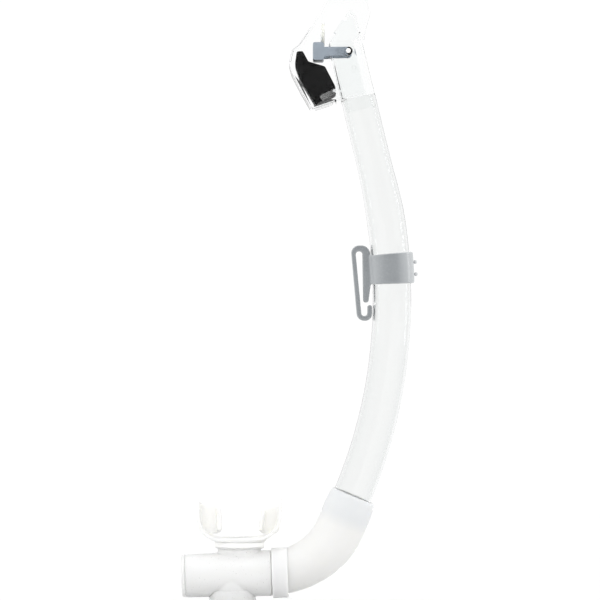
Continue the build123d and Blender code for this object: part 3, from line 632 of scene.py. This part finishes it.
def softened(name, replaced, voxel, smooth):
    """A moulded piece from its CAD form, with every edge rounded off."""
    bm = bmesh.new()
    for source in replaced:
        bm.from_mesh(nodes[source].data)
    obj = link(bpy.data.objects.new(name, mesh_from(name, bm)))
    applied(obj, "WELD", merge_threshold=WELD_GAP)
    applied(obj, "REMESH", mode="VOXEL", voxel_size=voxel * MM, adaptivity=0.0)
    applied(obj, "SMOOTH", factor=0.5, iterations=smooth)
    mesh = obj.data
    bpy.data.objects.remove(obj)
    finished(name, mesh, replaced[0], replaced)


def polished(name, width):
    """A CAD node kept as it is, with its sharp edges broken."""
    obj = nodes[name]
    weld = obj.modifiers.new("weld", "WELD")
    weld.merge_threshold = WELD_GAP
    bevel = obj.modifiers.new("bevel", "BEVEL")
    bevel.width = width * MM
    bevel.segments = 2
    bevel.limit_method = "ANGLE"
    bevel.angle_limit = SHARP_ANGLE
    bevel.use_clamp_overlap = True
    even = obj.modifiers.new("even", "WEIGHTED_NORMAL")
    even.keep_sharp = False
    for polygon in obj.data.polygons:
        polygon.use_smooth = True


# ---------------------------------------------------------------- pieces with their own shape
def make_tube():
    low = -ARC_LENGTH - TUBE_TAIL
    outline = [(low, 0), (HEAD_JOINT, 0), (HEAD_JOINT, -TUBE_WALL), (low, -TUBE_WALL)]
    profile = [(along, eased(TUBE_RADII, along) + depth)
               for along, depth in spread(rounded(outline, [TUBE_CORNER] * 4), TUBE_STEP)]
    turned("clear_tube", tube_frame, profile, ["barrel_upper", "barrel_middle", "barrel_lower"],
           TUBE_SEGMENTS)


def make_elbow():
    """The outline is drawn as depth under the skin, then stretched to the real wall."""
    step = TUBE_TAIL + SOCKET_STEP
    outline = [(0, 0), (ELBOW_LENGTH, 0), (ELBOW_LENGTH, -ELBOW_WALL), (step, -ELBOW_WALL),
               (step, -SOCKET_WALL), (0, -SOCKET_WALL)]
    profile = []
    for along, depth in spread(rounded(outline, ELBOW_CORNERS), ELBOW_STEP):
        outer = eased(ELBOW_RADII, along)
        inner, wall = TUBE_R + SOCKET_PLAY, SOCKET_WALL
        if along > TUBE_TAIL + SOCKET_STEP / 2:
            inner, wall = ELBOW_BORE, ELBOW_WALL
        deep = min(1.0, -depth / wall)
        shift = -eased(ELBOW_SHIFT, along) * (1 - deep)
        profile.append((along, outer + (inner - outer) * deep, shift))
    turned("soft_elbow", elbow_frame, profile, ["flex_elbow"], TUBE_SEGMENTS)


def make_swivel_ring():
    elbow_in, elbow_out = RING_ELBOW_R
    seat_start, seat_end, seat_r = RING_SEAT
    outline = [(-RING_HALF, RING_LIP_R), (-RING_HALF, RING_R), (RING_HALF, RING_R),
               (RING_HALF, elbow_out), (RING_WEB_END, elbow_in), (RING_WEB_END, ELBOW_BORE),
               (seat_end, ELBOW_BORE), (seat_end, seat_r), (seat_start, seat_r),
               (seat_start, RING_LIP_R)]
    turned("swivel_collar", swivel_frame, rounded(outline, RING_CORNERS), ["swivel_ring"],
           ROUND_SEGMENTS)


def make_plug_ribs():
    bm = bmesh.new()
    steps = RIB_COUNT * RIB_STEPS
    low, high = RIB_LIFT
    for side in (-1, 1):
        rings = []
        for step in range(steps + 1):
            share = step / steps
            crest = (0.5 - 0.5 * cos(2 * pi * RIB_COUNT * share)) ** RIB_POWER
            out = Vector((0, side * (FLOAT_HALF + low + (high - low) * crest), 0))
            root = Vector((0, side * (FLOAT_HALF - RIB_ROOT), 0))
            above = PLUG_TOP[0].lerp(PLUG_TOP[1], share)
            below = PLUG_LOW[0].lerp(PLUG_LOW[1], share)
            corners = (above + root, above + out, below + out, below + root)
            rings.append([bm.verts.new(corner * MM) for corner in corners])
        for a, b in zip(rings, rings[1:]):
            for j in range(4):
                bm.faces.new((a[j], a[j - 1], b[j - 1], b[j]))
        bm.faces.new(rings[0])
        bm.faces.new(rings[-1])
    bmesh.ops.recalc_face_normals(bm, faces=bm.faces)
    finished("plug_ribs", mesh_from("plug_ribs", bm), "float_plug", None)


# ---------------------------------------------------------------- the whole
SOFTENED = (               # piece, CAD nodes, voxel, smoothing steps
    ("soft_mouthpiece", ["mouthpiece", "mouthpiece_neck"], 0.42, 10),
    ("frosted_chamber", ["mouth_chamber", "mouth_spigot"], 0.5, 6),
    ("frosted_cap", ["chamber_cap"], 0.5, 5),
    ("purge_grille", ["purge_cover"], 0.4, 3),
    ("strap_hook", ["strap_keeper"], 0.4, 14),
    ("float_block", ["float_body"], 0.5, 5),
    ("lever_fork", ["valve_lever"], 0.3, 3),
    ("flap_disc", ["valve_flap"], 0.3, 4),
    ("purge_flap", ["purge_disc"], 0.3, 3),
    ("button_domes", ["hood_buttons"], 0.16, 8),
    ("pin_heads", ["lever_pins"], 0.14, 6),
)
POLISHED = {"hood": 0.35, "valve_body": 0.25, "flap_plate": 0.2, "float_plug": 0.15}   # bevels

make_stage()
for name, cad in nodes.items():
    coat(name, cad.data, SLOT_OF[name])
make_tube()
make_elbow()
make_plug_ribs()
make_swivel_ring()
for piece in SOFTENED:
    softened(*piece)
for name, width in POLISHED.items():
    polished(name, width)
